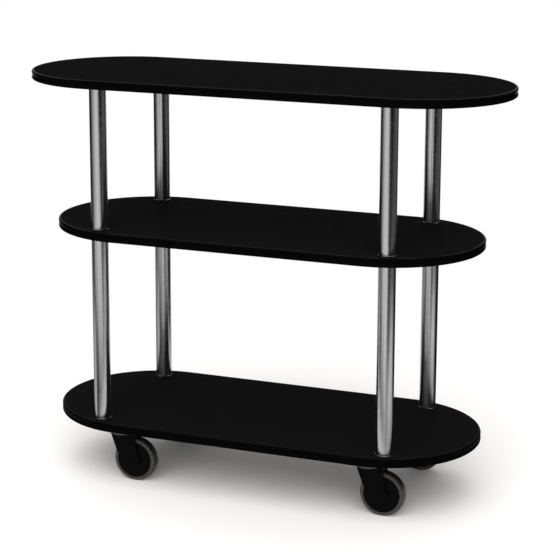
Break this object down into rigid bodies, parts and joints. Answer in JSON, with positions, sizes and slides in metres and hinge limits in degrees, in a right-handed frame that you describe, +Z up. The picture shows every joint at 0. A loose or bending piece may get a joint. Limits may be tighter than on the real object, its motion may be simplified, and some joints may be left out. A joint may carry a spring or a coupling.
{
  "type": "service cart",
  "caption": "Tiered service cart with oval black laminate shelves in a beaded edge moulding, chrome tube legs and swivel casters with free-turning wheels.",
  "frame": {"origin": "on the floor, under the middle of the cart", "axes": "+X along the cart's length towards its right end, +Y from its front to its back, +Z up"},
  "size_m": [1.1178, 0.427, 0.9241],
  "materials": {
    "particle_board": "raw board",
    "black_laminate": "fine satin",
    "black_backer": "matt",
    "black_vinyl": "satin extruded",
    "chrome_tube": "polished",
    "chrome_ring": "polished",
    "plug_steel": "plain",
    "zinc_fastener": "zinc plated",
    "insert_brass": "plain",
    "zinc_plate": "zinc plated",
    "ball_steel": "polished",
    "fork_plastic": "moulded satin",
    "black_axle": "black",
    "hub_plastic": "moulded",
    "grey_rubber": "matt",
    "cover_plastic": "moulded satin"
  },
  "bodies": {
    "cart": {"top_core": "particle_board", "top_laminate": "black_laminate", "top_backer": "black_backer", "top_moulding": "black_vinyl", "middle_core": "particle_board", "middle_laminate": "black_laminate", "middle_backer": "black_backer", "middle_moulding": "black_vinyl", "bottom_core": "particle_board", "bottom_laminate": "black_laminate", "bottom_backer": "black_backer", "bottom_moulding": "black_vinyl", "upper_leg_front_left": "chrome_tube", "upper_leg_front_right": "chrome_tube", "upper_leg_back_left": "chrome_tube", "upper_leg_back_right": "chrome_tube", "lower_leg_front_left": "chrome_tube", "lower_leg_front_right": "chrome_tube", "lower_leg_back_left": "chrome_tube", "lower_leg_back_right": "chrome_tube", "leg_rings": "chrome_ring", "leg_plugs": "plug_steel", "leg_studs": "zinc_fastener", "top_inserts": "insert_brass", "foot_bolts": "zinc_fastener", "caster_screws": "zinc_fastener", "caster_plate_front_left": "zinc_plate", "caster_plate_front_right": "zinc_plate", "caster_plate_back_left": "zinc_plate", "caster_plate_back_right": "zinc_plate", "caster_kingpin_front_left": "zinc_fastener", "caster_kingpin_front_right": "zinc_fastener", "caster_kingpin_back_left": "zinc_fastener", "caster_kingpin_back_right": "zinc_fastener"},
    "fork_front_left": {"caster_balls_front_left": "ball_steel", "caster_fork_front_left": "fork_plastic", "caster_axle_front_left": "black_axle"},
    "wheel_front_left": {"caster_hub_front_left": "hub_plastic", "caster_tread_front_left": "grey_rubber", "caster_covers_front_left": "cover_plastic"},
    "fork_front_right": {"caster_balls_front_right": "ball_steel", "caster_fork_front_right": "fork_plastic", "caster_axle_front_right": "black_axle"},
    "wheel_front_right": {"caster_hub_front_right": "hub_plastic", "caster_tread_front_right": "grey_rubber", "caster_covers_front_right": "cover_plastic"},
    "fork_back_left": {"caster_balls_back_left": "ball_steel", "caster_fork_back_left": "fork_plastic", "caster_axle_back_left": "black_axle"},
    "wheel_back_left": {"caster_hub_back_left": "hub_plastic", "caster_tread_back_left": "grey_rubber", "caster_covers_back_left": "cover_plastic"},
    "fork_back_right": {"caster_balls_back_right": "ball_steel", "caster_fork_back_right": "fork_plastic", "caster_axle_back_right": "black_axle"},
    "wheel_back_right": {"caster_hub_back_right": "hub_plastic", "caster_tread_back_right": "grey_rubber", "caster_covers_back_right": "cover_plastic"}
  },
  "joints": [
    {"name": "swivel_front_left", "type": "hinge", "parent": "cart", "child": "fork_front_left", "pos_m": [-0.2944, -0.1478, 0.1102], "axis": [0, 0, 1], "continuous": true},
    {"name": "wheel_spin_front_left", "type": "hinge", "parent": "fork_front_left", "child": "wheel_front_left", "pos_m": [-0.2617, -0.1478, 0.05], "axis": [0, 1, 0], "continuous": true},
    {"name": "swivel_front_right", "type": "hinge", "parent": "cart", "child": "fork_front_right", "pos_m": [0.2944, -0.1478, 0.1102], "axis": [0, 0, 1], "continuous": true},
    {"name": "wheel_spin_front_right", "type": "hinge", "parent": "fork_front_right", "child": "wheel_front_right", "pos_m": [0.3271, -0.1478, 0.05], "axis": [0, 1, 0], "continuous": true},
    {"name": "swivel_back_left", "type": "hinge", "parent": "cart", "child": "fork_back_left", "pos_m": [-0.2944, 0.1478, 0.1102], "axis": [0, 0, 1], "continuous": true},
    {"name": "wheel_spin_back_left", "type": "hinge", "parent": "fork_back_left", "child": "wheel_back_left", "pos_m": [-0.2617, 0.1478, 0.05], "axis": [0, 1, 0], "continuous": true},
    {"name": "swivel_back_right", "type": "hinge", "parent": "cart", "child": "fork_back_right", "pos_m": [0.2944, 0.1478, 0.1102], "axis": [0, 0, 1], "continuous": true},
    {"name": "wheel_spin_back_right", "type": "hinge", "parent": "fork_back_right", "child": "wheel_back_right", "pos_m": [0.3271, 0.1478, 0.05], "axis": [0, 1, 0], "continuous": true}
  ]
}
